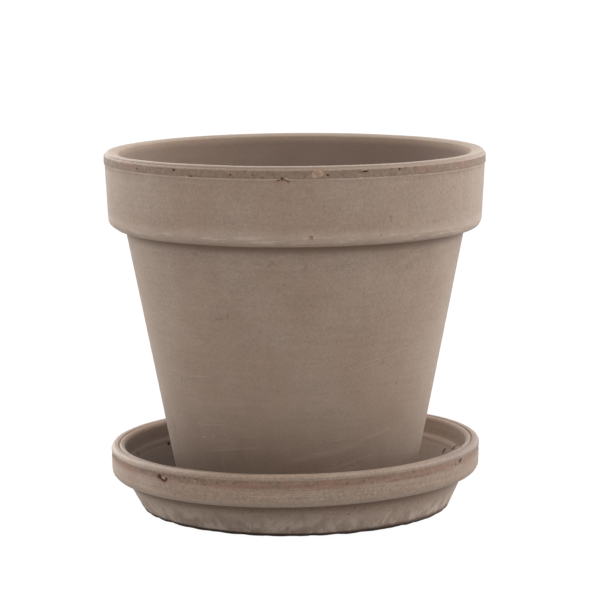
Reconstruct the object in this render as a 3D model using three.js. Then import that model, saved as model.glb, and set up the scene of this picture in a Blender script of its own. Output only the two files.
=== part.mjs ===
// A clay flower pot standing in its saucer: two loose pieces of fired clay, each turned about one axis.
// Millimetres, +Z up. The origin is the centre of the saucer's flat underside.
import * as THREE from 'three';

// Each piece is an outline in radius and height, turned about Z.
const FLATS_ROUND = 64; // flats round each piece
const ARC_STEP = THREE.MathUtils.degToRad(22.5); // the most a rounded corner turns between two points
const RESTING_GAP = 0.3; // between the saucer's floor and the pot that stands on it

// Driving dimensions of the pot. Heights are above its own underside.
const POT_HEIGHT = 161.8;
const RIM_RADIUS = 90; // the band round the rim, the widest place
const RIM_BAND_BOTTOM = 156.3; // below the band the collar steps in
const COLLAR_TOP_RADIUS = 89.5;
const COLLAR_BOTTOM_RADIUS = 87.9;
const COLLAR_BOTTOM = 125.3;
const SHOULDER_RADIUS = 80.2; // the body where it meets the collar's underside
const FOOT_RADIUS = 55.6;
const WALL = 6.8; // across the body, level
const LIP_CROWN_RADIUS = 86; // inward of this the lip slopes down to the mouth
const MOUTH_RADIUS = 83.2;
const MOUTH_DROP = 1.2; // from the crown of the lip down to the mouth's edge
const POT_FLOOR = 9;
const DRAIN_RADIUS = 11;

// Driving dimensions of the saucer. Heights are above its own underside.
const SAUCER_HEIGHT = 31;
const SAUCER_RADIUS = 87.9;
const SAUCER_COLLAR_BOTTOM = 16.1;
const SAUCER_SHOULDER_RADIUS = 81.1; // the foot wall where it meets the collar's underside
const SAUCER_FOOT_RADIUS = 73;
const SAUCER_FLOOR = 8;
const SAUCER_FLOOR_RADIUS = 69;
const SAUCER_LIP = 5.6; // across the top of the rim
const LIP_GROOVE_RADIUS = 84; // a fine groove round the top of the rim
const LIP_GROOVE = 0.7; // its depth, and half its width
const LEDGE_HEIGHT = 22.1; // a small ledge round the inside, where the wall turns in to the floor
const LEDGE_RADIUS = 79.4;
const LEDGE_DROP = 2; // how far the ledge's edge slopes down and in

const POT_COLOUR = 0x8b7a6d;
const SAUCER_COLOUR = 0x846f62;
const CLAY_ROUGHNESS = 0.92;

// Points of an arc that meets both sides of a corner smoothly, in the order of travel.
function roundCorner(corner, toBefore, toAfter, radius) {
  const halfAngle = Math.acos(toBefore.dot(toAfter)) / 2;
  const turn = Math.PI - 2 * halfAngle;
  const inward = toBefore.clone().add(toAfter).normalize();
  const centre = corner.clone().addScaledVector(inward, radius / Math.sin(halfAngle));
  const start = corner.clone().addScaledVector(toBefore, radius / Math.tan(halfAngle));
  const direction = Math.sign(toAfter.cross(toBefore));
  const steps = Math.ceil(turn / ARC_STEP);
  return Array.from({ length: steps + 1 }, (_, k) => (
    start.clone().rotateAround(centre, (direction * turn * k) / steps)
  ));
}

// The points of an outline given as corners [radius, height, rounding]. A corner with no rounding is sharp.
function roundedOutline(corners) {
  const places = corners.map(([r, z]) => new THREE.Vector2(r, z));
  return corners.flatMap(([, , rounding], i) => {
    const corner = places[i];
    if (!rounding) return [corner];
    const toBefore = places.at(i - 1).clone().sub(corner).normalize();
    const toAfter = places[(i + 1) % places.length].clone().sub(corner).normalize();
    return roundCorner(corner, toBefore, toAfter, rounding);
  });
}

// A piece turned from its outline, standing at a height.
function turnedPiece(name, outline, height, colour) {
  const geometry = new THREE.LatheGeometry(outline, FLATS_ROUND);
  geometry.rotateX(Math.PI / 2);
  const clay = new THREE.MeshStandardMaterial({
    color: colour,
    roughness: CLAY_ROUGHNESS,
    metalness: 0,
  });
  const piece = new THREE.Mesh(geometry, clay);
  piece.name = name;
  piece.position.z = height;
  return piece;
}

// The pot: a tapered body with a drain hole in its floor, and a deep collar with a rounded lip.
// The outline runs round the wall once, from the drain hole out, up, over the lip and back down inside.
function potOutline() {
  const outline = roundedOutline([
    [DRAIN_RADIUS, 0, 1],
    [FOOT_RADIUS, 0, 2],
    [SHOULDER_RADIUS, COLLAR_BOTTOM, 0.8],
    [COLLAR_BOTTOM_RADIUS, COLLAR_BOTTOM, 5],
    [COLLAR_TOP_RADIUS, RIM_BAND_BOTTOM],
    [RIM_RADIUS, RIM_BAND_BOTTOM],
    [RIM_RADIUS, POT_HEIGHT, 3],
    [LIP_CROWN_RADIUS, POT_HEIGHT, 6],
    [MOUTH_RADIUS, POT_HEIGHT - MOUTH_DROP, 0.6],
    [SHOULDER_RADIUS - WALL, COLLAR_BOTTOM, 60],
    [FOOT_RADIUS - WALL, POT_FLOOR, 10],
    [DRAIN_RADIUS, POT_FLOOR, 1],
  ]);
  return [...outline, outline[0].clone()];
}

// The saucer: a solid disc of floor, a flared foot wall, and a collar with a grooved lip.
// The outline runs from the middle of the underside out, up, over the lip and back in along the floor.
function saucerOutline() {
  const mouthRadius = SAUCER_RADIUS - SAUCER_LIP;
  return roundedOutline([
    [0, 0],
    [SAUCER_FOOT_RADIUS, 0, 1.6],
    [SAUCER_SHOULDER_RADIUS, SAUCER_COLLAR_BOTTOM, 0.8],
    [SAUCER_RADIUS - 0.4, SAUCER_COLLAR_BOTTOM, 4],
    [SAUCER_RADIUS, SAUCER_HEIGHT, 1.5],
    [LIP_GROOVE_RADIUS + LIP_GROOVE, SAUCER_HEIGHT],
    [LIP_GROOVE_RADIUS, SAUCER_HEIGHT - LIP_GROOVE],
    [LIP_GROOVE_RADIUS - LIP_GROOVE, SAUCER_HEIGHT],
    [mouthRadius, SAUCER_HEIGHT, 1.2],
    [LEDGE_RADIUS + 1.4, LEDGE_HEIGHT, 1.5],
    [LEDGE_RADIUS, LEDGE_HEIGHT],
    [LEDGE_RADIUS - LEDGE_DROP, LEDGE_HEIGHT - LEDGE_DROP],
    [SAUCER_FLOOR_RADIUS, SAUCER_FLOOR, 6],
    [0, SAUCER_FLOOR],
  ]);
}

const flowerPot = new THREE.Group();
flowerPot.add(turnedPiece('saucer', saucerOutline(), 0, SAUCER_COLOUR));
flowerPot.add(turnedPiece('pot', potOutline(), SAUCER_FLOOR + RESTING_GAP, POT_COLOUR));

export default flowerPot;
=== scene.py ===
"""A clay flower pot standing in its saucer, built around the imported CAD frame.

Lengths are in metres, and sizes written in millimetres are multiplied by MM. Each piece is turned from a
fine outline, given the unevenness and small flaws of real turned clay as geometry, and finished with a
procedural unglazed clay material. Azimuths are measured round the pot's axis: 0 at the front, growing to
the right.
"""
import math
from typing import NamedTuple

import bmesh
import bpy
import numpy as np
from mathutils import Euler, Matrix, Vector, noise


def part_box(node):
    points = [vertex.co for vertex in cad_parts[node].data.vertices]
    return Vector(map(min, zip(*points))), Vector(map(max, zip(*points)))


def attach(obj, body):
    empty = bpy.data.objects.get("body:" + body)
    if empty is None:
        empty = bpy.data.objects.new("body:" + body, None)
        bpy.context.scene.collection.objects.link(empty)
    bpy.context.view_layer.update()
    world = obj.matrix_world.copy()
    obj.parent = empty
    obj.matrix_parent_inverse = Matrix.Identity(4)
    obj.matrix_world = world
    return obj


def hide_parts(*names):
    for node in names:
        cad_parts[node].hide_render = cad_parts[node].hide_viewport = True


MM = 0.001

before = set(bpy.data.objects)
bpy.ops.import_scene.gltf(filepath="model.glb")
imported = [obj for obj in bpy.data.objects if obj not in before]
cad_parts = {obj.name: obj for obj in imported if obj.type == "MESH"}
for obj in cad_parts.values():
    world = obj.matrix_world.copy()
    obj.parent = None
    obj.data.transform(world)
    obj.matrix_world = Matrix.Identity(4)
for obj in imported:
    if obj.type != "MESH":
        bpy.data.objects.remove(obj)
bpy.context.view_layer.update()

# Sizes that the CAD boxes give.
pot_low, pot_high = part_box("pot")
saucer_low, saucer_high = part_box("saucer")
RIM_RADIUS = pot_high.x
POT_HEIGHT = pot_high.z - pot_low.z
SAUCER_RADIUS = saucer_high.x
SAUCER_HEIGHT = saucer_high.z - saucer_low.z

# The pot's outline inside that box. Heights are above the pot's underside.
BAND_BOTTOM = POT_HEIGHT - 5.3 * MM
BAND_TOP = POT_HEIGHT - 2 * MM
COLLAR_TOP_RADIUS = RIM_RADIUS - 0.4 * MM
COLLAR_BOTTOM_RADIUS = RIM_RADIUS - 2 * MM
COLLAR_BOTTOM = POT_HEIGHT - 36.5 * MM
SHOULDER_RADIUS = RIM_RADIUS - 9.7 * MM
FOOT_RADIUS = RIM_RADIUS - 34.2 * MM
WALL = 6.8 * MM
LIP_CROWN_RADIUS = RIM_RADIUS - 4 * MM
MOUTH_RADIUS = RIM_RADIUS - 6.8 * MM
MOUTH_DROP = 1.2 * MM
POT_FLOOR = 9 * MM
DRAIN_RADIUS = 11 * MM
BEAD_HEIGHT = BAND_BOTTOM - 0.6 * MM
LIP_GROOVE_HEIGHT = BAND_TOP + 0.9 * MM

# The saucer's outline inside its box. Heights are above the saucer's underside.
SAUCER_COLLAR_BOTTOM = SAUCER_HEIGHT - 14.9 * MM
SAUCER_SHOULDER_RADIUS = SAUCER_RADIUS - 6.8 * MM
SAUCER_FOOT_RADIUS = SAUCER_RADIUS - 14.7 * MM
SAUCER_BAND_TOP = SAUCER_HEIGHT - 2.1 * MM
SAUCER_BAND_BOTTOM = SAUCER_HEIGHT - 5.4 * MM
SAUCER_FLOOR = 8 * MM
SAUCER_FLOOR_RADIUS = SAUCER_RADIUS - 18.8 * MM
SAUCER_MOUTH_RADIUS = SAUCER_RADIUS - 6.5 * MM
LIP_GROOVE_RADIUS = SAUCER_RADIUS - 3.9 * MM
LIP_GROOVE = 0.7 * MM
LEDGE_HEIGHT = SAUCER_HEIGHT - 8.9 * MM
LEDGE_RADIUS = SAUCER_RADIUS - 8.5 * MM
LEDGE_DROP = 2 * MM
SCALLOPS = 35

# Neither rim is quite level: both rise to the right, while the collar's lower edge droops there. The saucer
# also sits a little to the left of the pot.
POT_LEAN = 0.23 * MM
EDGE_DROOP = 0.45 * MM
SAUCER_LEAN = 1.2 * MM
SAUCER_SHIFT = -0.5 * MM

# How finely the pieces are drawn: steps round the axis, the angle and length of the steps along a rounded
# corner, and the cuts across a face under a small flaw and the margin in mm that is cut round the flaw.
STEPS_ROUND = 400
ARC_STEP = math.radians(15)
ARC_CHORD = 0.3 * MM
REFINE_CUTS = 4
REFINE_MARGIN = 0.4
ON_AXIS = 0.001 * MM

# A wall is one whose normal leans at least this far from or to the axis. A flaw shows out to FLAW_REACH times
# its own size.
FACING = 0.2
FLAW_REACH = 2.4


# ---------------------------------------------------------------- outlines and turned meshes

def round_corner(corner, before, after, rounding):
    """Points of an arc that meets both sides of a corner smoothly, in the order of travel."""
    to_before = (before - corner) / np.linalg.norm(before - corner)
    to_after = (after - corner) / np.linalg.norm(after - corner)
    half_angle = math.acos(np.clip(to_before @ to_after, -1, 1)) / 2
    turn = math.pi - 2 * half_angle
    inward = (to_before + to_after) / np.linalg.norm(to_before + to_after)
    centre = corner + inward * rounding / math.sin(half_angle)
    start = corner + to_before * rounding / math.tan(half_angle) - centre
    side = np.sign(to_after[0] * to_before[1] - to_after[1] * to_before[0])
    steps = max(2, min(math.ceil(turn / ARC_STEP), math.ceil(turn * rounding / ARC_CHORD)))
    points = []
    for angle in side * turn * np.arange(steps + 1) / steps:
        cosine, sine = math.cos(angle), math.sin(angle)
        points.append(centre + (start[0] * cosine - start[1] * sine, start[0] * sine + start[1] * cosine))
    return points


def fine_outline(corners, closed):
    """The outline through corners (radius, height, rounding, spacing): arcs at the rounded corners, and
    points no further apart than spacing along the side that follows each corner."""
    places = [np.array(c[:2], float) for c in corners]
    count = len(corners)
    points, gaps = [], []
    for i, (_, _, rounding, spacing) in enumerate(corners):
        if rounding:
            arc = round_corner(places[i], places[i - 1], places[(i + 1) % count], rounding)
        else:
            arc = [places[i]]
        points += arc
        gaps += [spacing] * len(arc)
    if closed:
        points.append(points[0])
    fine = []
    for start, end, gap in zip(points, points[1:], gaps):
        pieces = max(1, math.ceil(np.linalg.norm(end - start) / gap))
        fine += [start + (end - start) * k / pieces for k in range(pieces)]
    if not closed:
        fine.append(points[-1])
    return np.array(fine)


def turned_body(outline, closed):
    """A bmesh turned from an outline. An open outline starts and ends on the axis, with one point there."""
    bm = bmesh.new()
    angles = np.linspace(0, 2 * math.pi, STEPS_ROUND, endpoint=False)
    rings = []
    for radius, height in outline:
        if not closed and radius < ON_AXIS:
            rings.append([bm.verts.new((0, 0, height))] * STEPS_ROUND)
        else:
            places = [(radius * math.sin(angle), -radius * math.cos(angle), height) for angle in angles]
            rings.append([bm.verts.new(place) for place in places])
    if closed:
        rings.append(rings[0])
    for low, high in zip(rings, rings[1:]):
        for k in range(STEPS_ROUND):
            after = (k + 1) % STEPS_ROUND
            corners = [low[k], low[after], high[after], high[k]]
            bm.faces.new(list(dict.fromkeys(corners)))
    bmesh.ops.recalc_face_normals(bm, faces=bm.faces)
    return bm


def pot_outline():
    """The pot's wall, once round: from the drain hole out, up, over the lip and back down inside."""
    return fine_outline(
        [
            (DRAIN_RADIUS, 0, 1 * MM, 5 * MM),
            (FOOT_RADIUS, 0, 2 * MM, 2.4 * MM),
            (SHOULDER_RADIUS, COLLAR_BOTTOM, 0.8 * MM, 1.6 * MM),
            (COLLAR_BOTTOM_RADIUS, COLLAR_BOTTOM, 5 * MM, 1.6 * MM),
            (COLLAR_TOP_RADIUS, BAND_BOTTOM - 1.2 * MM, 0, 0.4 * MM),
            (RIM_RADIUS, BAND_BOTTOM + 0.3 * MM, 0.4 * MM, 0.7 * MM),
            (RIM_RADIUS, BAND_TOP, 0.3 * MM, 0.3 * MM),
            (RIM_RADIUS - 0.6 * MM, LIP_GROOVE_HEIGHT - 0.2 * MM, 0, 0.3 * MM),
            (RIM_RADIUS - 1 * MM, LIP_GROOVE_HEIGHT, 0, 0.3 * MM),
            (RIM_RADIUS - 1 * MM, POT_HEIGHT, 1 * MM, 0.5 * MM),
            (LIP_CROWN_RADIUS, POT_HEIGHT, 6 * MM, 0.6 * MM),
            (MOUTH_RADIUS, POT_HEIGHT - MOUTH_DROP, 0.6 * MM, 4 * MM),
            (SHOULDER_RADIUS - WALL, COLLAR_BOTTOM, 60 * MM, 5 * MM),
            (FOOT_RADIUS - WALL, POT_FLOOR, 10 * MM, 5 * MM),
            (DRAIN_RADIUS, POT_FLOOR, 1 * MM, 2 * MM),
        ],
        closed=True,
    )


def saucer_outline():
    """From the middle of the saucer's underside out, up, over the lip and back in along the floor."""
    return fine_outline(
        [
            (0, 0, 0, 8 * MM),
            (SAUCER_FOOT_RADIUS, 0, 1.6 * MM, 0.9 * MM),
            (SAUCER_SHOULDER_RADIUS, SAUCER_COLLAR_BOTTOM, 0.8 * MM, 0.8 * MM),
            (SAUCER_RADIUS - 0.4 * MM, SAUCER_COLLAR_BOTTOM, 4 * MM, 0.7 * MM),
            (SAUCER_RADIUS, SAUCER_HEIGHT, 1.8 * MM, 0.4 * MM),
            (LIP_GROOVE_RADIUS + LIP_GROOVE, SAUCER_HEIGHT, 0.3 * MM, 0.3 * MM),
            (LIP_GROOVE_RADIUS, SAUCER_HEIGHT - LIP_GROOVE, 0.2 * MM, 0.3 * MM),
            (LIP_GROOVE_RADIUS - LIP_GROOVE, SAUCER_HEIGHT, 0.3 * MM, 0.3 * MM),
            (SAUCER_MOUTH_RADIUS, SAUCER_HEIGHT, 1.8 * MM, 0.8 * MM),
            (LEDGE_RADIUS + 1.4 * MM, LEDGE_HEIGHT, 1.5 * MM, 0.5 * MM),
            (LEDGE_RADIUS, LEDGE_HEIGHT, 0.4 * MM, 0.5 * MM),
            (LEDGE_RADIUS - LEDGE_DROP, LEDGE_HEIGHT - LEDGE_DROP, 0.4 * MM, 1.2 * MM),
            (SAUCER_FLOOR_RADIUS, SAUCER_FLOOR, 6 * MM, 4 * MM),
            (0, SAUCER_FLOOR, 0, 4 * MM),
        ],
        closed=False,
    )


# ---------------------------------------------------------------- flaws in the clay

class Kind(NamedTuple):
    """What a flaw looks like: how deep it goes in mm (negative stands proud), the ridge pushed up round it,
    how ragged its edge is, and how dark, pale, red or orange its clay is. In pinholes, holes and notches the
    dark is painted shade inside them."""
    depth: float
    ridge: float = 0.0
    dark: float = 0.0
    pale: float = 0.0
    red: float = 0.0
    orange: float = 0.0
    ragged: float = 0.3


# The dark of pinholes, holes and notches is painted shade inside them.
PINHOLE = Kind(depth=0.3, dark=0.5)
HOLE = Kind(depth=1.1, ridge=0.1, dark=0.85, red=0.8, ragged=0.4)
NOTCH = Kind(depth=1.1, ridge=0.1, dark=0.9, ragged=0.4)
GRIT = Kind(depth=-0.22, pale=0.7)
CHIP = Kind(depth=0.4, ridge=0.08, dark=0.45, red=0.8, ragged=0.55)
SCUFF = Kind(depth=0.1, dark=0.16, ragged=0.5)
BARE_CLAY = Kind(depth=0.08, orange=0.85, ragged=0.5)
SCRATCH = Kind(depth=0.12, ridge=0.05, dark=0.22, ragged=0.4)
RED_STAIN = Kind(depth=0.0, red=0.3, ragged=0.9)


class Flaw(NamedTuple):
    """A flaw of one kind: its azimuth in degrees, its height above the piece's underside, its length, its
    width, its tilt in degrees, rising to the right, and its side of the wall. Lengths are in mm."""
    kind: Kind
    azimuth: float
    height: float
    length: float
    width: float
    tilt: float = 0.0
    inside: bool = False

    def distance(self, azimuth, radius, height):
        """How far each place is from the flaw's middle: 1 at its edge."""
        across = (azimuth - math.radians(self.azimuth) + math.pi) % (2 * math.pi) - math.pi
        across = across * radius / MM
        up = height / MM - self.height
        turn = math.radians(self.tilt)
        along = across * math.cos(turn) + up * math.sin(turn)
        aside = up * math.cos(turn) - across * math.sin(turn)
        return np.hypot(along / (self.length / 2), aside / (self.width / 2))


def scattered(kind, count, heights, sizes, seed, stretch=1.0, inside=False, clear=()):
    """Flaws of one kind at seeded random places, away from the azimuths in clear."""
    draw = np.random.default_rng(seed)
    flaws = []
    while len(flaws) < count:
        azimuth = draw.uniform(-180, 180)
        size = draw.uniform(*sizes)
        height = draw.uniform(*heights)
        tilt = draw.uniform(-15, 15)
        if not any(low < azimuth < high for low, high in clear):
            flaws.append(Flaw(kind, azimuth, height, size * stretch, size, tilt, inside))
    return flaws


PLACED_POT_FLAWS = [
    Flaw(CHIP, -4.6, 155.7, 2.2, 0.7, 12),
    Flaw(CHIP, -2.4, 155.7, 2.6, 0.7, -22),
    Flaw(HOLE, -3.6, 156.2, 0.9, 1.3),
    Flaw(GRIT, -2.2, 156.4, 1.2, 0.6, -20),
    Flaw(RED_STAIN, -3.3, 154.6, 3.6, 2.2),
    Flaw(BARE_CLAY, 5.7, 158.4, 3.0, 3.2),
    Flaw(BARE_CLAY, 7.2, 158.6, 3.2, 2.8),
    Flaw(GRIT, 7.4, 159.2, 1.1, 0.8),
    Flaw(HOLE, 9.3, 157.8, 0.9, 0.9),
    Flaw(HOLE, 20.2, 158.8, 3.0, 0.6),
    Flaw(PINHOLE, 19.1, 158.4, 0.8, 0.5),
    Flaw(GRIT, 18.9, 156.2, 0.7, 0.6),
    Flaw(GRIT, 21.9, 156.1, 0.7, 0.4),
    Flaw(GRIT, 34.5, 156.4, 0.9, 0.6),
    Flaw(GRIT, 37.0, 156.2, 0.8, 0.3),
    Flaw(GRIT, -32.1, 156.3, 0.9, 0.7),
    Flaw(GRIT, 55.0, 157.1, 1.0, 0.7),
    Flaw(HOLE, 31.1, 159.1, 1.1, 0.7, 40),
    Flaw(HOLE, -52.0, 157.9, 0.9, 0.8),
    Flaw(PINHOLE, -42.4, 159.3, 1.0, 0.7),
    Flaw(HOLE, -37.0, 159.1, 0.7, 1.1, 10),
    Flaw(HOLE, -30.8, 156.7, 0.9, 0.6),
    Flaw(HOLE, -18.4, 157.9, 0.9, 0.8),
    Flaw(PINHOLE, -11.9, 157.8, 1.0, 0.8),
    Flaw(SCUFF, -6.2, 158.2, 1.6, 1.2),
    Flaw(SCUFF, 21.9, 152.6, 3.6, 1.1),
    Flaw(SCRATCH, 28.6, 137.3, 0.7, 4.0, 6),
    Flaw(PINHOLE, 25.6, 130.2, 0.9, 0.8),
    Flaw(CHIP, 4.8, 130.3, 1.1, 0.8),
    Flaw(SCUFF, 39.0, 117.6, 6.0, 1.8, 10),
    Flaw(SCUFF, -29.0, 96.0, 7.0, 0.9, 6),
    Flaw(SCUFF, 34.0, 154.2, 3.4, 0.9, 4),
    Flaw(RED_STAIN, -58.6, 158.8, 8.0, 3.4),
    Flaw(RED_STAIN, 40.5, 158.2, 5.0, 3.4),
    Flaw(RED_STAIN, 58.0, 158.6, 11.0, 3.2),
    Flaw(SCRATCH, -28.4, 90.5, 6.0, 0.8, 5),
    Flaw(SCRATCH, -25.4, 91.8, 4.0, 0.5, 18),
    Flaw(SCRATCH, 3.6, 115.5, 3.4, 0.6, 20),
    Flaw(SCRATCH, 2.5, 114.3, 3.0, 0.5, 10),
    Flaw(SCRATCH, 34.0, 68.2, 4.4, 0.7, 25),
    Flaw(PINHOLE, 43.0, 58.0, 1.3, 0.6),
    Flaw(GRIT, 28.4, 89.5, 0.4, 1.3),
    Flaw(SCUFF, -34.2, 120.2, 4.0, 2.4, 10),
    Flaw(SCUFF, 41.2, 113.2, 5.0, 3.0, 20),
    Flaw(SCUFF, -7.8, 117.2, 4.0, 2.2, 15),
]


def pot_flaws():
    """The placed flaws, most of them on the front, and scattered ones like them all round."""
    front = [(-60, 72)]
    band = BAND_BOTTOM / MM, BAND_TOP / MM
    flaws = list(PLACED_POT_FLAWS)
    flaws += scattered(PINHOLE, 24, band, (0.6, 1.0), 11, clear=front)
    flaws += scattered(HOLE, 7, band, (0.6, 1.0), 12, clear=front)
    flaws += scattered(GRIT, 10, (156.4, 160), (0.6, 0.9), 13, clear=front)
    flaws += scattered(CHIP, 3, (156.8, 159), (1.1, 1.7), 14, stretch=2, clear=front)
    flaws += scattered(SCRATCH, 9, (20, 118), (0.5, 0.8), 16, stretch=6, clear=front)
    flaws += scattered(PINHOLE, 12, (10, 150), (0.5, 0.9), 17)
    flaws += scattered(PINHOLE, 8, (70, 155), (0.7, 1.2), 19, inside=True)
    return flaws


PLACED_SAUCER_FLAWS = [
    Flaw(HOLE, -45.0, 26.6, 3.0, 2.4, 20),
    Flaw(HOLE, -43.6, 25.5, 3.6, 1.5, -30),
    Flaw(HOLE, -42.1, 26.0, 1.2, 2.2, -15),
    Flaw(GRIT, -43.4, 26.2, 1.4, 1.2, 40),
    Flaw(GRIT, -31.2, 27.0, 0.9, 0.9),
    Flaw(PINHOLE, -30.9, 28.1, 1.2, 0.7),
    Flaw(PINHOLE, -35.0, 28.0, 1.0, 0.8),
    Flaw(PINHOLE, -27.6, 25.7, 1.4, 0.9),
    Flaw(PINHOLE, -23.7, 27.0, 1.0, 0.8),
    Flaw(PINHOLE, -18.4, 27.3, 1.2, 0.8),
    Flaw(PINHOLE, -53.5, 27.3, 0.9, 0.8),
    Flaw(HOLE, 61.0, 27.4, 2.3, 1.6, 20),
    Flaw(GRIT, 61.6, 27.3, 0.7, 0.6, 20),
    Flaw(PINHOLE, 58.0, 26.3, 0.9, 0.8),
    Flaw(PINHOLE, 20.4, 27.1, 1.0, 0.8),
    Flaw(PINHOLE, 8.4, 22.5, 0.9, 0.7),
    Flaw(CHIP, 15.4, 26.7, 1.4, 0.7),
    Flaw(RED_STAIN, 6.5, 25.9, 14.0, 2.2),
    Flaw(RED_STAIN, 13.4, 26.4, 12.0, 3.2),
    Flaw(RED_STAIN, -63.5, 27.4, 16.0, 4.6),
    Flaw(RED_STAIN, -59.5, 22.7, 12.0, 5.0),
    Flaw(RED_STAIN, 50.5, 26.8, 18.0, 3.2),
    Flaw(RED_STAIN, 68.5, 26.0, 12.0, 3.6),
    Flaw(RED_STAIN, -19.6, 26.1, 22.0, 2.0),
    Flaw(PINHOLE, -103.5, 21.5, 2.0, 1.6, inside=True),
    Flaw(NOTCH, -126.0, 20.5, 2.4, 1.4, -30, inside=True),
    Flaw(NOTCH, 107.4, 18.4, 1.5, 3.0, -8, inside=True),
    Flaw(NOTCH, 101.6, 21.6, 1.7, 2.4, -25, inside=True),
    Flaw(GRIT, 101.0, 20.2, 1.4, 0.9, inside=True),
    Flaw(SCUFF, 114.5, 18.5, 2.4, 0.8, inside=True),
]


def saucer_flaws():
    """The placed flaws, most of them on the front, and scattered ones like them all round."""
    front = [(-70, 70)]
    band = SAUCER_BAND_BOTTOM / MM, SAUCER_BAND_TOP / MM
    flaws = list(PLACED_SAUCER_FLAWS)
    flaws += scattered(PINHOLE, 18, band, (0.6, 1.0), 21, clear=front)
    flaws += scattered(GRIT, 5, band, (0.7, 1.0), 23, clear=front)
    flaws += scattered(HOLE, 3, (25, 29), (1.0, 1.6), 24, stretch=1.3, clear=front)
    flaws += scattered(RED_STAIN, 7, (25.5, 28.4), (2.0, 3.4), 25, stretch=5, clear=front)
    flaws += scattered(PINHOLE, 10, (3, 24), (0.6, 0.9), 26)
    flaws += scattered(PINHOLE, 6, (21, 28), (0.8, 1.2), 27, inside=True)
    return flaws


def polar(points):
    """Azimuth, radius and height of points."""
    right, back, height = points.T
    return np.arctan2(right, -back), np.hypot(right, back), height


def outwardness(points, normals):
    """1 where a surface faces away from the axis, -1 where it faces the axis."""
    radius = np.maximum(np.hypot(points[:, 0], points[:, 1]), ON_AXIS)
    return (points[:, 0] * normals[:, 0] + points[:, 1] * normals[:, 1]) / radius


def refine(bm, flaws):
    """Divide the faces under the small flaws, so that each can have a shape of its own."""
    bm.normal_update()
    centres = np.array([face.calc_center_median() for face in bm.faces])
    normals = np.array([face.normal for face in bm.faces])
    azimuth, radius, height = polar(centres)
    outward = outwardness(centres, normals)
    near = np.zeros(len(centres), bool)
    for flaw in flaws:
        if flaw.kind.depth:
            spare = 2 * REFINE_MARGIN
            wide = flaw._replace(length=flaw.length + spare, width=flaw.width + spare)
            on_side = outward < -FACING if flaw.inside else outward > FACING
            near |= on_side & (wide.distance(azimuth, radius, height) < 1)
    faces = [face for face, chosen in zip(bm.faces, near) if chosen]
    edges = list(dict.fromkeys(edge for face in faces for edge in face.edges))
    bmesh.ops.subdivide_edges(bm, edges=edges, cuts=REFINE_CUTS, use_grid_fill=True)
    bm.normal_update()


# ---------------------------------------------------------------- relief

def smooth(value, low, high):
    """A soft step from 0 at low to 1 at high, or downward where low is above high."""
    share = np.clip((value - low) / (high - low), 0, 1)
    return share * share * (3 - 2 * share)


def strip(value, low, high, soft):
    """1 between low and high, fading out over soft to each side."""
    return smooth(value, low - soft, low + soft) * smooth(value, high + soft, high - soft)


def grain(points, size, seed, octaves=1):
    """Smooth noise between about -1 and 1 with features of the given size."""
    shift = Vector((7.3 * seed, 3.1 * seed, 5.7 * seed))
    return np.array([noise.fractal(Vector(p) / size + shift, 0.8, 2.0, octaves) for p in points])


def wheel_rings(azimuth, height, spacing, seed):
    """The faint rings that a turning tool leaves, between -1 and 1, never quite level or regular."""
    phase = 2 * math.pi * height / spacing + 0.7 * np.sin(azimuth + seed)
    strength = 0.65 + 0.35 * np.sin(height / (5.5 * spacing) + 2 * azimuth + seed)
    return strength * (0.6 * np.sin(phase) + 0.4 * np.sin(1.73 * phase + 1.5 * np.sin(azimuth + 2 * seed)))


def pot_relief(points, outward):
    """How far the pot's surface stands out and up from its turned shape, in metres. The sums are in mm."""
    azimuth, radius, height = polar(points)
    outside = smooth(outward, 0.1, 0.5)
    inside = smooth(-outward, 0.1, 0.5)
    band = outside * strip(height, BAND_BOTTOM, BAND_TOP, 0.3 * MM)
    bead = outside * np.exp(-((height - BEAD_HEIGHT) / (0.35 * MM)) ** 2)
    body = outside * smooth(height, COLLAR_BOTTOM, COLLAR_BOTTOM - 4 * MM)
    push = 0.10 * np.cos(2 * azimuth + 0.7) + 0.06 * np.cos(3 * azimuth + 2.1)
    push += 0.06 * grain(points, 30 * MM, 1) + 0.018 * grain(points, 7 * MM, 2, 2)
    push += 0.022 * body * wheel_rings(azimuth, height, 3.6 * MM, 1)
    push += 0.10 * inside * wheel_rings(azimuth, height, 7 * MM, 4)
    push += 0.05 * band * grain(points, 1.3 * MM, 3, 2)
    push += bead * (0.18 + 0.06 * grain(points, 6 * MM, 4))

    lip = smooth(height, POT_HEIGHT - 8 * MM, POT_HEIGHT)
    crown = smooth(height, LIP_GROOVE_HEIGHT, POT_HEIGHT)
    overhang = smooth(radius, RIM_RADIUS - 8 * MM, RIM_RADIUS - 4 * MM)
    edge = outside * overhang * strip(height, COLLAR_BOTTOM, COLLAR_BOTTOM + 2 * MM, 2 * MM)
    rise = lip * (0.08 * np.sin(2 * azimuth + 1.1) + 0.05 * grain(points, 25 * MM, 5))
    rise += POT_LEAN / MM * lip * np.sin(azimuth)
    rise -= 0.12 * crown * (1 + np.cos(azimuth))
    rise += edge * (0.22 * grain(points, 22 * MM, 6) + 0.08 * grain(points, 5 * MM, 7))
    rise -= EDGE_DROOP / MM * edge * np.sin(azimuth)
    return push * MM, rise * MM


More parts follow.
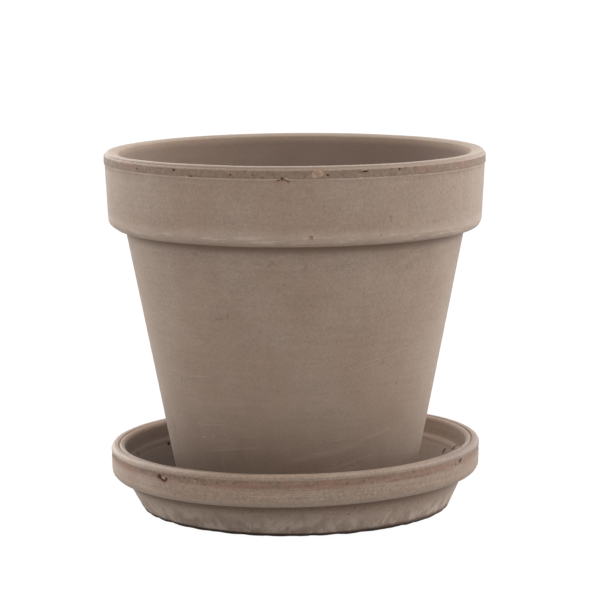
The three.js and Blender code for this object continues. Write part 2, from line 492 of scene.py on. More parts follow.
def saucer_relief(points, outward):
    """How far the saucer's surface stands out and up from its turned shape, in metres. The sums are in mm."""
    azimuth, radius, height = polar(points)
    outside = smooth(outward, 0.1, 0.5)
    inside = smooth(-outward, 0.1, 0.5)
    band = outside * strip(height, SAUCER_BAND_BOTTOM, SAUCER_BAND_TOP, 0.4 * MM)
    push = 0.12 * np.cos(2 * azimuth + 2.0) + 0.07 * np.cos(3 * azimuth + 0.4)
    push += 0.07 * grain(points, 28 * MM, 11) + 0.03 * grain(points, 6 * MM, 12, 2)
    push += 0.05 * outside * wheel_rings(azimuth, height, 3.1 * MM, 2)
    push += 0.07 * inside * wheel_rings(azimuth, height, 3.7 * MM, 5)
    push += band * (0.05 * grain(points, 1.4 * MM, 13, 2) - 0.14)
    # Fingers pressed round the foot left shallow scallops, deepest at the bottom edge.
    foot = smooth(radius, SAUCER_FOOT_RADIUS - 6 * MM, SAUCER_FOOT_RADIUS - 2 * MM)
    foot = foot * smooth(height, 9 * MM, 1 * MM)
    turn = azimuth * SCALLOPS / 2 + 1.1 * np.sin(2 * azimuth + 1) + 0.8 * np.sin(5 * azimuth)
    push -= foot * (0.22 - 0.22 * np.abs(np.sin(turn)) + 0.12 * grain(points, 7 * MM, 14))

    lip = smooth(height, SAUCER_HEIGHT - 6 * MM, SAUCER_HEIGHT)
    rise = 0.10 * lip * np.sin(2 * azimuth)
    rise += SAUCER_LEAN / MM * smooth(height, 0, SAUCER_COLLAR_BOTTOM) * np.sin(azimuth)
    edge = outside * strip(height, SAUCER_COLLAR_BOTTOM - MM, SAUCER_COLLAR_BOTTOM + 2 * MM, 3.5 * MM)
    rise += edge * 0.2 * grain(points, 15 * MM, 15)
    bottom = smooth(height, 2.2 * MM, 0) * smooth(radius, SAUCER_FOOT_RADIUS - 4 * MM, SAUCER_FOOT_RADIUS)
    rise += bottom * 0.35 * np.clip(grain(points, 6 * MM, 16, 2), 0, 1)
    return push * MM, rise * MM


def flaw_relief(points, outward, flaws):
    """How far the flaws push the surface out, and how dark, pale and bare they leave it. The dark of
    pinholes, holes and notches is painted shade.
    """
    azimuth, radius, height = polar(points)
    push = np.zeros(len(points))
    shades = {name: np.zeros(len(points)) for name in ("dark", "pale", "red", "orange")}
    for number, flaw in enumerate(flaws):
        kind = flaw.kind
        distance = flaw.distance(azimuth, radius, height)
        on_side = outward < 0 if flaw.inside else outward > 0
        near = np.flatnonzero(on_side & (distance < FLAW_REACH))
        if not len(near):
            continue
        size = max(0.7, flaw.width * 0.8) * MM
        away = distance[near] + kind.ragged * grain(points[near], size, 30 + number)
        push[near] -= kind.depth * smooth(away, 1.1, 0.4)
        push[near] += kind.ridge * np.exp(-(((away - 1.35) / 0.3) ** 2))
        cover = smooth(away, 1.15, 0.75)
        halo = smooth(away, 1.7, 0.9)
        for name, shade in shades.items():
            spread = halo if name == "red" else cover
            shade[near] = np.maximum(shade[near], getattr(kind, name) * spread)
    return push * MM, shades


def finish_mesh(name, bm, relief, flaws, base_height):
    """The mesh of a turned body with its relief and flaws, and its shades as point attributes. Hollow is 1 on
    the inside, 0 on the outside and between them on flat faces."""
    refine(bm, flaws)
    mesh = bpy.data.meshes.new(name)
    bm.to_mesh(mesh)
    bm.free()
    count = len(mesh.vertices)
    points, normals = np.empty(3 * count), np.empty(3 * count)
    mesh.vertices.foreach_get("co", points)
    mesh.vertices.foreach_get("normal", normals)
    points, normals = points.reshape(-1, 3), normals.reshape(-1, 3)
    outward = outwardness(points, normals)
    push, rise = relief(points, outward)
    flaw_push, shades = flaw_relief(points, outward, flaws)
    moved = points + normals * (push + flaw_push)[:, None]
    moved[:, 2] += rise
    moved[:, 2] = np.maximum(moved[:, 2], 0) + base_height
    mesh.vertices.foreach_set("co", moved.ravel())
    shades["hollow"] = smooth(-outward, -0.3, 0.2)
    for shade_name, values in shades.items():
        mesh.attributes.new(shade_name, "FLOAT", "POINT").data.foreach_set("value", values)
    mesh.update()
    mesh.shade_smooth()
    return mesh


# ---------------------------------------------------------------- shader nodes

class Nodes:
    """A node tree under construction. Each method adds nodes and gives their output socket."""

    def __init__(self, tree):
        self.tree = tree

    def add(self, kind, inputs, output=0, **settings):
        """One node, with sockets linked to its inputs or values set in them."""
        node = self.tree.nodes.new(kind)
        for name, value in settings.items():
            setattr(node, name, value)
        for name, value in inputs.items():
            if isinstance(value, bpy.types.NodeSocket):
                self.tree.links.new(value, node.inputs[name])
            else:
                node.inputs[name].default_value = value
        return node.outputs[output]

    def link(self, socket, node, name):
        """Lead a socket to an input of a node that the tree began with."""
        self.tree.links.new(socket, self.tree.nodes[node].inputs[name])

    def math(self, operation, a, b=0.0):
        return self.add("ShaderNodeMath", {0: a, 1: b}, operation=operation)

    def product(self, *factors):
        result = factors[0]
        for factor in factors[1:]:
            result = self.math("MULTIPLY", result, factor)
        return result

    def total(self, *terms):
        result = terms[0]
        for term in terms[1:]:
            result = self.math("ADD", result, term)
        return result

    def weighted(self, start, *parts):
        """A start with (value, weight) parts added to it."""
        return self.total(start, *[self.product(value, weight) for value, weight in parts])

    def inverse(self, share):
        return self.math("SUBTRACT", 1.0, share)


# ---------------------------------------------------------------- clay

# Clay colours, as linear red, green and blue. Some also stand for painted light or shade, as noted.
GREY_CLAY = (0.276, 0.203, 0.152)
WARM_CLAY = (0.262, 0.183, 0.133)
# Pale bloom on the clay; also painted light on the lower edges of both collars, the saucer's left end, the
# lit right of its inside and its ledge, and its foot wall.
PALE_BLOOM_AND_LIGHT = (0.48, 0.378, 0.312)
RED_CLAY = (0.25, 0.125, 0.085)
ORANGE_CLAY = (0.37, 0.235, 0.155)
# A painted highlight along the crown of the pot's lip.
CROWN_HIGHLIGHT = (0.300, 0.256, 0.205)
# Dark pits and specks; also painted shade in grooves, under the saucer's ledge and in holes and notches, and
# the painted contact shadow round the saucer's foot.
DARK_PITS_AND_SHADE = (0.055, 0.026, 0.016)
ROUGH_BAND = (0.182, 0.122, 0.084)
RED_BAND = (0.208, 0.124, 0.086)
# Darker clay; also painted shade inside the pot and on the saucer's right end.
DARK_CLAY_AND_SHADE = (0.138, 0.092, 0.074)
# The darker tone of the left of the saucer's inside.
LEFT_DARK_TONE = (0.080, 0.055, 0.043)
# Painted shadow in the creases under both collars.
CREASE_SHADE = (0.136, 0.074, 0.045)


class Clay(Nodes):
    """A clay material under construction. Its patterns are laid out in mm, in the frame's own axes."""

    def __init__(self, name):
        self.material = bpy.data.materials.new(name)
        self.material.use_nodes = True
        super().__init__(self.material.node_tree)
        place = self.add("ShaderNodeTexCoord", {}, "Object")
        self.place = self.add("ShaderNodeVectorMath", {0: place, "Scale": 1 / MM}, operation="SCALE")
        self.across, back, self.up = self.add("ShaderNodeSeparateXYZ", {0: self.place}).node.outputs
        self.azimuth = self.math("ARCTAN2", self.across, self.math("MULTIPLY", back, -1.0))
        self.hollow = self.attribute("hollow")
        self.outside = self.inverse(self.hollow)

    def attribute(self, name):
        """A shade of the mesh, from 0 to 1."""
        return self.add("ShaderNodeAttribute", {}, "Fac", attribute_name=name)

    def fade(self, value, low, high):
        """A soft step from 0 at low to 1 at high, or downward where low is above high."""
        limits = {"Value": value, "From Min": low, "From Max": high}
        return self.add("ShaderNodeMapRange", limits, interpolation_type="SMOOTHSTEP")

    def from_axis(self):
        """The distance from the vertical axis, in mm."""
        flat = self.add("ShaderNodeVectorMath", {0: self.place, 1: (1, 1, 0)}, operation="MULTIPLY")
        return self.add("ShaderNodeVectorMath", {0: flat}, "Value", operation="LENGTH")

    def strip(self, value, low, high, soft):
        """1 between low and high, fading out over soft to each side."""
        above = self.fade(value, low - soft, low + soft)
        return self.product(above, self.fade(value, high + soft, high - soft))

    def noise(self, size, detail=2.0, roughness=0.5, seed=0, squash=(1, 1, 1), tilt=0.0):
        """Noise from 0 to 1 with features of the given size in mm. Squash shortens them along an axis, after
        the pattern is tilted by an angle in degrees, rising to the right."""
        turn = (0, math.radians(tilt), 0)
        turned = self.add("ShaderNodeMapping", {"Vector": self.place, "Rotation": turn})
        shift = (11.0 * seed, 0, 7.0 * seed)
        scale = [share / size for share in squash]
        place = self.add("ShaderNodeMapping", {"Vector": turned, "Location": shift, "Scale": scale})
        settings = {"Vector": place, "Scale": 1.0, "Detail": detail, "Roughness": roughness}
        return self.add("ShaderNodeTexNoise", settings)

    def centred(self, noise):
        """A noise from 0 to 1 moved to lie between -0.5 and 0.5."""
        return self.math("SUBTRACT", noise, 0.5)

    def shifted(self, value, noise, reach):
        """A height moved up and down by a noise, by at most about reach in mm."""
        return self.weighted(value, (self.centred(noise), 2.0 * reach))

    def dots(self, cell, radius, share, seed):
        """1 inside small round dots: one dot in a share of the cells, sizes in mm."""
        place = self.add("ShaderNodeMapping", {"Vector": self.place, "Location": (5.0 * seed, 0, 9.0 * seed)})
        cells = self.add("ShaderNodeTexVoronoi", {"Vector": place, "Scale": 1 / cell})
        picked = self.add("ShaderNodeSeparateColor", {0: cells.node.outputs["Color"]})
        inside = self.fade(cells, radius / cell, 0.45 * radius / cell)
        return self.product(inside, self.math("LESS_THAN", picked, share))

    def stroke(self, height, stroke):
        """1 along a soft stroke on the outside of the pot, where height is the height above its underside."""
        turn = math.radians(stroke.tilt)
        turned = self.math("SUBTRACT", self.azimuth, math.radians(stroke.azimuth))
        across = self.product(turned, wall_radius(stroke.height))
        up = self.math("SUBTRACT", height, stroke.height)
        along = self.weighted(0.0, (across, math.cos(turn)), (up, math.sin(turn)))
        aside = self.weighted(0.0, (up, math.cos(turn)), (across, -math.sin(turn)))
        ends = self.fade(self.math("ABSOLUTE", along), stroke.length / 2, stroke.length / 4)
        sides = self.fade(self.math("ABSOLUTE", aside), stroke.width / 2, 0.0)
        return self.product(ends, sides, self.outside)

    def mix(self, factor, a, b):
        """The colour a where the factor is 0, and b where it is 1."""
        colours = {0: factor}
        for index, colour in ((6, a), (7, b)):
            colours[index] = (*colour, 1) if isinstance(colour, tuple) else colour
        return self.add("ShaderNodeMix", colours, 2, data_type="RGBA")

    def tint(self, colour, tone, *factors):
        """The colour moved towards a tone, as far as the product of the factors says."""
        return self.mix(self.product(*factors), colour, tone)

    def shade(self, colour, amounts):
        """The colour made lighter or darker by (noise from 0 to 1, strength) pairs."""
        changes = [self.product(self.centred(noise), 2.0, strength) for noise, strength in amounts]
        scale = self.total(1.0, *changes)
        return self.add("ShaderNodeVectorMath", {0: colour, "Scale": scale}, operation="SCALE")

    def relief(self, layers):
        """The bumped normal from (noise, height in mm) layers."""
        height = self.weighted(0.0, *layers)
        return self.add("ShaderNodeBump", {"Height": height, "Distance": MM, "Strength": 1.0})


def unglazed_clay(name, coarseness, paint):
    """Unglazed clay: sandy grain, soft mottling and faint tool streaks, under what paint adds for the piece
    and its flaws. Coarseness gives the strength of the grain. Paint gives the new colour, where the clay is
    rough, and the relief it adds in mm."""
    clay = Clay(name)
    coarse = coarseness(clay)
    mottle = clay.noise(34, 3, 0.55, seed=1)
    cloud = clay.noise(9, 4, 0.6, seed=2)
    sand = clay.noise(1.5, 3, 0.75, seed=3)
    dust = clay.noise(0.55, 2, 0.6, seed=4)
    streaks = clay.noise(30, 2, 0.5, seed=5, squash=(1, 1, 16), tilt=1.5)
    dark_dots = clay.dots(2.3, 0.34, 0.2, seed=1)
    pale_dots = clay.dots(2.9, 0.32, 0.16, seed=2)

    colour = clay.mix(clay.fade(mottle, 0.36, 0.64), WARM_CLAY, GREY_CLAY)
    sand_tone = clay.product(0.36, coarse)
    dust_tone = clay.product(0.30, coarse)
    colour = clay.shade(colour, [(cloud, 0.14), (sand, sand_tone), (dust, dust_tone), (streaks, 0.09)])
    colour, rough, raised = paint(clay, colour)
    colour = clay.tint(colour, DARK_PITS_AND_SHADE, dark_dots, 0.30)
    colour = clay.tint(colour, PALE_BLOOM_AND_LIGHT, pale_dots, 0.28)
    colour = clay.tint(colour, RED_CLAY, clay.attribute("red"))
    colour = clay.tint(colour, ORANGE_CLAY, clay.attribute("orange"), clay.fade(sand, 0.3, 0.52))
    colour = clay.tint(colour, PALE_BLOOM_AND_LIGHT, clay.attribute("pale"))
    # Dark flaws: painted shade in pinholes, holes and notches, darker clay in the others.
    colour = clay.tint(colour, DARK_PITS_AND_SHADE, clay.attribute("dark"))
    clay.link(colour, "Principled BSDF", "Base Color")

    roughness = clay.weighted(0.56, (cloud, 0.12), (rough, 0.15), (clay.hollow, 0.3))
    clay.link(roughness, "Principled BSDF", "Roughness")

    pores = clay.math("SUBTRACT", pale_dots, dark_dots)
    sand_height = clay.weighted(0.09, (rough, 0.22))
    layers = [(sand, sand_height), (dust, 0.02), (streaks, 0.05), (cloud, 0.12), (pores, 0.07), (raised, 1.0)]
    clay.link(clay.relief(layers), "Principled BSDF", "Normal")
    return clay.material


# ---------------------------------------------------------------- the pot's clay

class Stroke(NamedTuple):
    """A pale brush stroke or scrape on the outside of the pot: its azimuth in degrees, its height above the
    underside, its length and width in mm, its tilt in degrees, rising to the right, and its strength."""
    azimuth: float
    height: float
    length: float
    width: float
    tilt: float
    strength: float


BODY_STROKES = (
    Stroke(33, 71, 38, 1.0, 13, 0.13),
    Stroke(26, 67, 22, 1.8, 16, 0.08),
    Stroke(-37, 39, 24, 1.4, 4, 0.08),
    Stroke(-34, 21, 0.9, 16, 4, 0.18),
    Stroke(-28, 28, 34, 2.0, 8, 0.06),
    Stroke(8, 118, 30, 5.0, 12, 0.08),
    Stroke(-6, 120, 22, 3.0, 14, 0.10),
    Stroke(-12, 116, 16, 1.0, 18, 0.12),
    Stroke(41, 118, 14, 4.0, 8, 0.10),
    Stroke(-30, 96, 12, 1.0, 8, 0.14),
    Stroke(-40, 62, 18, 1.6, 6, 0.09),
    Stroke(-44, 50, 26, 1.0, -3, 0.08),
    Stroke(2, 84, 30, 1.2, 7, 0.07),
    Stroke(44, 92, 20, 1.4, -6, 0.08),
    Stroke(12, 27, 44, 4.5, 12, 0.12),
    Stroke(25, 22, 34, 2.6, 13, 0.12),
    Stroke(18, 17, 30, 3.0, 14, 0.10),
    Stroke(36, 34, 24, 3.0, 14, 0.09),
    Stroke(140, 80, 44, 1.6, 10, 0.12),
    Stroke(-120, 60, 36, 1.8, -8, 0.12),
    Stroke(-160, 100, 50, 2.0, 6, 0.10),
)
COLLAR_STROKES = (
    Stroke(-48, 145, 26, 7.0, 86, 0.07),
    Stroke(-39, 143, 22, 5.0, 97, 0.06),
    Stroke(58, 147, 24, 2.4, 92, 0.08),
    Stroke(66, 145, 30, 2.0, 90, 0.10),
)


def wall_radius(height):
    """The radius of the outside of the pot, at a height above its underside. Both are in mm."""
    share = height * MM / COLLAR_BOTTOM
    radius = FOOT_RADIUS + share * (SHOULDER_RADIUS - FOOT_RADIUS) if share < 1 else COLLAR_TOP_RADIUS
    return radius / MM


def paint_rim_band(clay, colour, height, nicked, patchy):
    """The rough, darker, pitted band round the rim."""
    bottom, top = BAND_BOTTOM / MM, BAND_TOP / MM
    grit = clay.noise(1.7, 3, 0.75, seed=21)
    above = clay.fade(height, bottom - 0.3, bottom + 0.1)
    band = clay.product(clay.outside, above, clay.fade(nicked, top + 0.2, top - 0.1))
    reddish = clay.mix(clay.fade(patchy, 0.5, 0.7), ROUGH_BAND, RED_BAND)
    colour = clay.tint(colour, clay.shade(reddish, [(grit, 0.95)]), band, 0.78)
    pits = clay.dots(1.8, 0.36, 0.35, seed=3)
    colour = clay.tint(colour, DARK_PITS_AND_SHADE, band, pits, 0.55)
    crumbs = clay.dots(1.9, 0.34, 0.3, seed=4)
    colour = clay.tint(colour, PALE_BLOOM_AND_LIGHT, band, crumbs, 0.4)
    return colour, band


def paint_lip(clay, colour, height, nicked, patchy):
    """The pale lip above the band, with painted shade in its groove and a painted highlight along its crown,
    and the broken pale bead below the band.
    """
    top, groove_height, bead_height = BAND_TOP / MM, LIP_GROOVE_HEIGHT / MM, BEAD_HEIGHT / MM
    lip = clay.product(clay.outside, clay.fade(nicked, top, top + 0.3))
    # The lip is made a little paler: partly paler clay, partly painted light on its upward faces.
    colour = clay.tint(colour, PALE_BLOOM_AND_LIGHT, lip, 0.08)
    # Painted shade in the groove round the lip.
    groove = clay.strip(height, groove_height - 0.1, groove_height + 0.1, 0.15)
    colour = clay.tint(colour, DARK_PITS_AND_SHADE, clay.outside, groove, 0.3)
    # A painted highlight along the crown of the lip.
    crown = clay.fade(height, POT_HEIGHT / MM - 1.4, POT_HEIGHT / MM - 0.6)
    colour = clay.tint(colour, CROWN_HIGHLIGHT, crown, 0.36)
    bead = clay.strip(height, bead_height - 0.25, bead_height + 0.2, 0.35)
    broken = clay.weighted(0.4, (clay.fade(patchy, 0.38, 0.6), 0.6))
    colour = clay.tint(colour, PALE_BLOOM_AND_LIGHT, clay.outside, bead, broken, 0.6)
    return colour, lip


def paint_collar(clay, colour, height):
    """Painted bounce light on the skirt and pale smears above the collar's lower edge, and painted shadow in
    the crease under it.
    """
    edge = COLLAR_BOTTOM / MM
    wavy = clay.shifted(height, clay.noise(17, 3, 0.6, seed=24), 2.2)
    skirt = clay.product(clay.outside, clay.strip(wavy, edge + 2.5, edge + 5, 4.5))
    body = clay.product(clay.outside, clay.fade(height, edge + 0.4, edge - 0.2))
    # Painted bounce light on the skirt, the rounding above the collar's lower edge.
    colour = clay.tint(colour, PALE_BLOOM_AND_LIGHT, skirt, clay.inverse(body), 0.58)
    smudges = clay.fade(clay.noise(14, 3, 0.6, seed=25, squash=(1, 1, 7), tilt=3), 0.52, 0.62)
    smears = clay.product(clay.outside, clay.strip(height, edge + 1.5, edge + 4.5, 1.5), smudges)
    colour = clay.tint(colour, PALE_BLOOM_AND_LIGHT, smears, 0.52)
    # Painted shadow in the crease under the collar.
    crease = clay.fade(height, edge - 5.2, edge - 0.8)
    colour = clay.tint(colour, CREASE_SHADE, body, crease, 0.88)
    return colour, smears


def paint_inside_shade_and_dark_base(clay, colour, height, patchy):
    """The inside of the pot made darker, deeper down and most on its right: darker clay and painted shade.
    The outside is made darker towards the bottom.
    """
    # Painted shade inside the pot, with its darker clay: darker below the lip and most on the right.
    depth = clay.fade(height, POT_HEIGHT / MM - 1.2, POT_HEIGHT / MM - 5)
    inside = clay.weighted(0.56, (clay.fade(clay.across, 10, 60), 0.14))
    colour = clay.tint(colour, DARK_CLAY_AND_SHADE, clay.hollow, depth, inside)
    # The outside is darker towards the bottom.
    low = clay.fade(clay.shifted(height, patchy, 12), 70, 5)
    return clay.tint(colour, DARK_CLAY_AND_SHADE, clay.outside, low, 0.38)


def paint_brushing(clay, colour, height, smears):
    """Dabs of slip and pale strokes on the outside, and the relief in mm that they and the smears have."""
    below_band = clay.fade(height, BAND_BOTTOM / MM - 2, BAND_BOTTOM / MM - 6)
    spots = clay.fade(clay.noise(8, 4, 0.7, seed=26, squash=(1, 1, 3), tilt=8), 0.64, 0.72)
    dabs = clay.product(clay.outside, below_band, spots)
    colour = clay.tint(colour, PALE_BLOOM_AND_LIGHT, dabs, 0.12)
    raised = clay.weighted(0.0, (smears, 0.12), (dabs, 0.16))
    for stroke in BODY_STROKES + COLLAR_STROKES:
        mark = clay.stroke(height, stroke)
        colour = clay.tint(colour, PALE_BLOOM_AND_LIGHT, mark, stroke.strength)
        raised = clay.weighted(raised, (mark, 0.05))
    return colour, raised


def paint_pot(clay, colour):
    """The pot's rough rim band, pale lip with a painted highlight on its crown, collar edge with painted
    bounce light, brushed body, painted shadow in the crease, and darker inside with painted shade.
    """
    height = clay.math("SUBTRACT", clay.up, pot_low.z / MM)
    patchy = clay.noise(14, 3, 0.65, seed=22)
    nicked = clay.shifted(height, clay.noise(2.4, 3, 0.75, seed=23), 0.8)
    colour, band = paint_rim_band(clay, colour, height, nicked, patchy)
    colour, lip = paint_lip(clay, colour, height, nicked, patchy)
    colour, smears = paint_collar(clay, colour, height)
    colour = paint_inside_shade_and_dark_base(clay, colour, height, patchy)
    colour, raised = paint_brushing(clay, colour, height, smears)
    return colour, clay.weighted(band, (lip, 0.6)), raised


def pot_coarseness(clay):
    """The grain shows most on the collar, less low on the body, where it was brushed smooth, and inside."""
    outer = clay.weighted(0.5, (clay.fade(clay.up, 40, 130), 0.38))
    return clay.product(outer, clay.inverse(clay.product(clay.hollow, 0.6)))


# ---------------------------------------------------------------- the saucer's clay

def paint_saucer_band(clay, colour, level, patchy, grit):
    """The rough red-brown band, the wash below it, and the fine lines turned into the collar."""
    edge, bottom, top = SAUCER_COLLAR_BOTTOM / MM, SAUCER_BAND_BOTTOM / MM, SAUCER_BAND_TOP / MM
    ragged = clay.shifted(level, patchy, 1.0)
    band = clay.product(clay.fade(level, top + 0.3, top - 0.3), clay.fade(ragged, bottom - 0.9, bottom + 0.6))
    band = clay.product(clay.outside, band)
    reddish = clay.mix(clay.fade(patchy, 0.38, 0.58), ROUGH_BAND, RED_BAND)
    colour = clay.tint(colour, clay.shade(reddish, [(grit, 0.8)]), band, 0.9)
    wash = clay.product(clay.fade(level, bottom - 5, bottom + 1), clay.fade(level, top, top - 0.4))
    blush = clay.fade(clay.noise(20, 3, 0.6, seed=36, squash=(1, 1, 3)), 0.48, 0.64)
    colour = clay.tint(colour, RED_BAND, clay.outside, wash, blush, 0.3)
    lines = clay.noise(26, 2, 0.6, seed=35, squash=(1, 1, 34), tilt=1)
    streaky = clay.product(clay.outside, clay.fade(level, edge, edge + 2))
    lined = clay.weighted(0.5, (streaky, clay.centred(lines)))
    return clay.shade(colour, [(lined, 0.32)]), band


def paint_saucer_lip(clay, colour, level, grit):
    """The worn outer edge of the lip, the scratch turned round below it, and painted shade in the groove in
    its top.
    """
    top, rim, groove = SAUCER_BAND_TOP / MM, SAUCER_HEIGHT / MM, LIP_GROOVE_RADIUS / MM
    wear = clay.fade(clay.shifted(level, grit, 0.3), rim - 0.5, rim - 1.1)
    colour = clay.tint(colour, DARK_CLAY_AND_SHADE, clay.outside, wear, clay.fade(level, top, top + 0.5), 0.24)
    scratch = clay.strip(level, top - 0.05, top + 0.05, 0.2)
    colour = clay.tint(colour, DARK_PITS_AND_SHADE, clay.outside, scratch, 0.22)
    # Painted shade in the groove in the lip's top.
    ring = clay.strip(clay.from_axis(), groove - 0.4, groove + 0.4, 0.3)
    return clay.tint(colour, DARK_PITS_AND_SHADE, ring, clay.fade(level, rim - 2, rim - 1), 0.45)


def paint_saucer_collar(clay, colour, level, patchy):
    """Painted bounce light on the collar's lower edge, painted light on its left end, painted shade on its
    right end, and painted shadow in the crease under it.
    """
    edge, bottom, top = SAUCER_COLLAR_BOTTOM / MM, SAUCER_BAND_BOTTOM / MM, SAUCER_BAND_TOP / MM
    under = clay.fade(clay.from_axis(), SAUCER_RADIUS / MM - 4.5, SAUCER_RADIUS / MM - 5.5)
    collar = clay.math("SUBTRACT", clay.outside, clay.product(clay.outside, under))
    # Painted bounce light on the rounding above the collar's lower edge.
    skirt = clay.fade(clay.shifted(level, patchy, 1.0), edge + 4, edge + 1)
    colour = clay.tint(colour, PALE_BLOOM_AND_LIGHT, collar, skirt, 0.34)
    # Painted light on the collar's left end.
    left_end = clay.fade(clay.across, -45, -80)
    colour = clay.tint(colour, PALE_BLOOM_AND_LIGHT, collar, left_end, clay.fade(level, bottom + 1, bottom), 0.22)
    # Painted shade on the collar's right end, stronger on the lip.
    right_end = clay.product(clay.outside, clay.fade(clay.across, 45, 80), clay.fade(level, edge, edge + 2))
    dimming = clay.weighted(0.18, (clay.fade(level, top - 0.5, top + 0.5), 0.45))
    colour = clay.tint(colour, DARK_CLAY_AND_SHADE, right_end, dimming)
    # Painted shadow in the crease under the collar.
    crease = clay.product(clay.fade(level, edge - 5, edge - 0.8), clay.fade(level, edge + 3, edge + 1))
    return clay.tint(colour, CREASE_SHADE, clay.outside, under, crease, 0.8)


def paint_saucer_inside(clay, colour, level):
    """The inside: darker on the left and below the ledge, with painted light on the right, a painted
    highlight along the ledge and painted shade under it.
    """
    rim, ledge = SAUCER_HEIGHT / MM, LEDGE_HEIGHT / MM
    inner = clay.fade(level, rim - 0.8, rim - 3)
    left = clay.fade(clay.across, 30, -40)
    right = clay.inverse(left)
    # Painted light on the right of the inside.
    colour = clay.tint(colour, PALE_BLOOM_AND_LIGHT, clay.hollow, inner, right, 0.15)
    # Darker on the left and below the ledge.
    below = clay.fade(level, ledge + 0.5, ledge - 0.5)
    darkening = clay.weighted(0.05, (left, 0.6), (below, 0.2))
    colour = clay.tint(colour, clay.mix(left, DARK_CLAY_AND_SHADE, LEFT_DARK_TONE), clay.hollow, inner, darkening)
    # A painted highlight along the ledge, on the right.
    on_ledge = clay.strip(level, ledge - 0.1, ledge + 0.8, 0.4)
    colour = clay.tint(colour, PALE_BLOOM_AND_LIGHT, clay.hollow, on_ledge, right, 0.2)
    # Painted shade in the groove under the ledge.
    under_ledge = clay.strip(level, ledge - 1.6, ledge - 0.8, 0.5)
    return clay.tint(colour, DARK_PITS_AND_SHADE, clay.hollow, under_ledge, 0.4)


def paint_saucer_foot(clay, colour):
    """The foot wall made paler, partly pale bloom and partly painted bounce light, the bloom in patches round
    it, and a painted contact shadow where it meets the floor.
    """
    edge, floor_radius = SAUCER_COLLAR_BOTTOM / MM, SAUCER_FLOOR_RADIUS / MM
    wall = clay.product(clay.outside, clay.fade(clay.from_axis(), floor_radius, floor_radius + 2))
    # Paler foot wall: partly pale bloom, partly painted bounce light from the floor.
    colour = clay.tint(colour, PALE_BLOOM_AND_LIGHT, wall, clay.fade(clay.up, edge - 3, edge - 8), 0.34)
    fingers = clay.noise(5.5, 4, 0.62, seed=32, squash=(1, 1, 0.5))
    patches = clay.shifted(fingers, clay.noise(26, 2, 0.5, seed=33), 0.10)
    bloom = clay.product(wall, clay.fade(clay.up, 12, 3), clay.fade(patches, 0.47, 0.6))
    colour = clay.tint(colour, PALE_BLOOM_AND_LIGHT, bloom, 0.92)
    gaps = clay.product(wall, clay.fade(clay.up, 14, 8), clay.fade(patches, 0.46, 0.36))
    colour = clay.tint(colour, DARK_CLAY_AND_SHADE, gaps, 0.24)
    # A painted contact shadow along the bottom edge, taller on the right.
    contact = clay.weighted(2.2, (clay.fade(clay.across, 10, 45), 1.6))
    colour = clay.tint(colour, DARK_PITS_AND_SHADE, clay.fade(clay.up, contact, 1.2))
    return colour, bloom


def paint_saucer(clay, colour):
    """The saucer's red-brown band, pale lip, darker inside with painted light and shade, painted shadow in
    the crease, and the bloom and painted contact shadow round its foot.
    """
    level = clay.math("SUBTRACT", clay.up, clay.product(clay.across, SAUCER_LEAN / SAUCER_RADIUS))
    patchy = clay.noise(12, 3, 0.65, seed=30)
    grit = clay.noise(1.7, 3, 0.75, seed=34)
    colour, band = paint_saucer_band(clay, colour, level, patchy, grit)
    colour = paint_saucer_lip(clay, colour, level, grit)
    colour = paint_saucer_collar(clay, colour, level, patchy)
    colour = paint_saucer_inside(clay, colour, level)
    colour, bloom = paint_saucer_foot(clay, colour)
    return colour, band, clay.product(bloom, 0.12)


def saucer_coarseness(clay):
    """The saucer is sandier than the pot, and smoother inside."""
    return clay.math("SUBTRACT", 1.5, clay.product(clay.hollow, 0.9))


# ---------------------------------------------------------------- pieces

def add_piece(mesh, node, material):
    """Place a finished mesh in the scene, riding on a CAD node's body and standing for that node."""
    piece = bpy.data.objects.new(mesh.name, mesh)
    bpy.context.scene.collection.objects.link(piece)
    mesh.materials.append(material)
    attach(piece, node)
    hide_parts(node)


def build_pot():
    turned = turned_body(pot_outline(), closed=True)
    mesh = finish_mesh("clay_pot", turned, pot_relief, pot_flaws(), pot_low.z)
    add_piece(mesh, "pot", unglazed_clay("pot_clay", pot_coarseness, paint_pot))


def build_saucer():
    turned = turned_body(saucer_outline(), closed=False)
    mesh = finish_mesh("clay_saucer", turned, saucer_relief, saucer_flaws(), saucer_low.z)
    mesh.transform(Matrix.Translation((SAUCER_SHIFT, 0, 0)))
    add_piece(mesh, "saucer", unglazed_clay("saucer_clay", saucer_coarseness, paint_saucer))


# ---------------------------------------------------------------- studio

FLOOR_HALF = 12.0
FLOOR_BOUNCE = 0.5
FLOOR_GLOW = 1.06
FLOOR_GLOW_SHARE = 0.92

# The surrounding glow: azimuth and elevation in degrees, and strength, of each patch.
GLOWS = ((-120, 10, 3.6), (-160, 10, 5.4), (0, 50, 2.35), (120, 10, 6.3), (70, 30, 0.5))
GLOW_SHARPNESS = 6.0

# A long lens on a 36 mm sensor, looking down at the pot. Angles are in degrees.
LENS = 159.62
CAMERA_DISTANCE = 1.2518
CAMERA_HEIGHT = 0.2805
CAMERA_PITCH = -8.30
CAMERA_TURN = -0.10
CAMERA_ROLL = -0.31


def direction(azimuth, elevation):
    """The unit vector towards an azimuth and elevation in degrees."""
    turn, lift = math.radians(azimuth), math.radians(elevation)
    return math.sin(turn) * math.cos(lift), -math.cos(turn) * math.cos(lift), math.sin(lift)


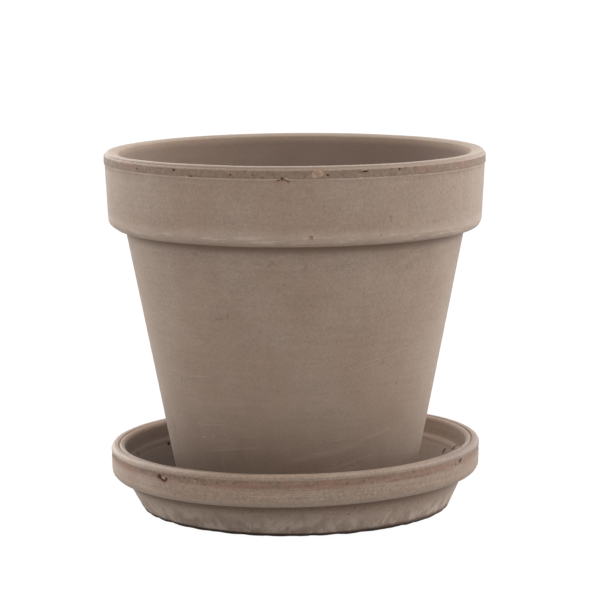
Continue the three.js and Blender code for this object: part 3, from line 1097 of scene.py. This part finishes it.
def add_floor():
    """A pale floor. The camera sees it almost as white as the backdrop, with the pot's soft shadow on it."""
    mesh = bpy.data.meshes.new("studio_floor")
    corners = [(FLOOR_HALF * x, FLOOR_HALF * y, 0) for x, y in ((-1, -1), (1, -1), (1, 1), (-1, 1))]
    mesh.from_pydata(corners, [], [(0, 1, 2, 3)])
    floor = bpy.data.objects.new("studio_floor", mesh)
    bpy.context.scene.collection.objects.link(floor)
    material = bpy.data.materials.new("studio_white")
    material.use_nodes = True
    nodes = Nodes(material.node_tree)
    nodes.tree.nodes.remove(nodes.tree.nodes["Principled BSDF"])
    matt = nodes.add("ShaderNodeBsdfDiffuse", {"Color": (FLOOR_BOUNCE, FLOOR_BOUNCE, FLOOR_BOUNCE, 1)})
    glow = nodes.add("ShaderNodeEmission", {"Strength": FLOOR_GLOW})
    seen = nodes.add("ShaderNodeMixShader", {0: FLOOR_GLOW_SHARE, 1: matt, 2: glow})
    camera_ray = nodes.add("ShaderNodeLightPath", {}, "Is Camera Ray")
    final = nodes.add("ShaderNodeMixShader", {0: camera_ray, 1: matt, 2: seen})
    nodes.link(final, "Material Output", "Surface")
    mesh.materials.append(material)


def add_world():
    """A surrounding of soft glowing patches. The camera sees plain white."""
    world = bpy.data.worlds.new("studio_world")
    world.use_nodes = True
    nodes = Nodes(world.node_tree)
    ray = nodes.add("ShaderNodeTexCoord", {}, "Generated")
    light = 0.0
    for azimuth, elevation, strength in GLOWS:
        towards = {0: ray, 1: direction(azimuth, elevation)}
        facing = nodes.add("ShaderNodeVectorMath", towards, "Value", operation="DOT_PRODUCT")
        power = {0: facing, 1: GLOW_SHARPNESS, 2: math.log(strength) - GLOW_SHARPNESS}
        glow = nodes.math("EXPONENT", nodes.add("ShaderNodeMath", power, operation="MULTIPLY_ADD"))
        light = nodes.total(light, glow)
    camera_ray = nodes.add("ShaderNodeLightPath", {}, "Is Camera Ray")
    seen = nodes.add("ShaderNodeMix", {0: camera_ray, 2: light, 3: 1.0})
    nodes.link(seen, "Background", "Strength")
    nodes.tree.nodes["Background"].inputs["Color"].default_value = (1, 1, 1, 1)
    bpy.context.scene.world = world


def add_camera():
    """A long lens at the height and distance that the pot is looked at from."""
    camera = bpy.data.cameras.new("camera")
    camera.lens = LENS
    camera.sensor_width = 36
    camera.clip_end = 100
    holder = bpy.data.objects.new("camera", camera)
    bpy.context.scene.collection.objects.link(holder)
    holder.location = (0, -CAMERA_DISTANCE, CAMERA_HEIGHT)
    aim = Euler((math.radians(90 + CAMERA_PITCH), 0, math.radians(CAMERA_TURN))).to_matrix()
    roll = Matrix.Rotation(math.radians(CAMERA_ROLL), 3, "Z")
    holder.rotation_euler = (aim @ roll).to_euler()
    bpy.context.scene.camera = holder


build_pot()
build_saucer()
add_floor()
add_world()
add_camera()
bpy.context.scene.view_settings.view_transform = "Standard"
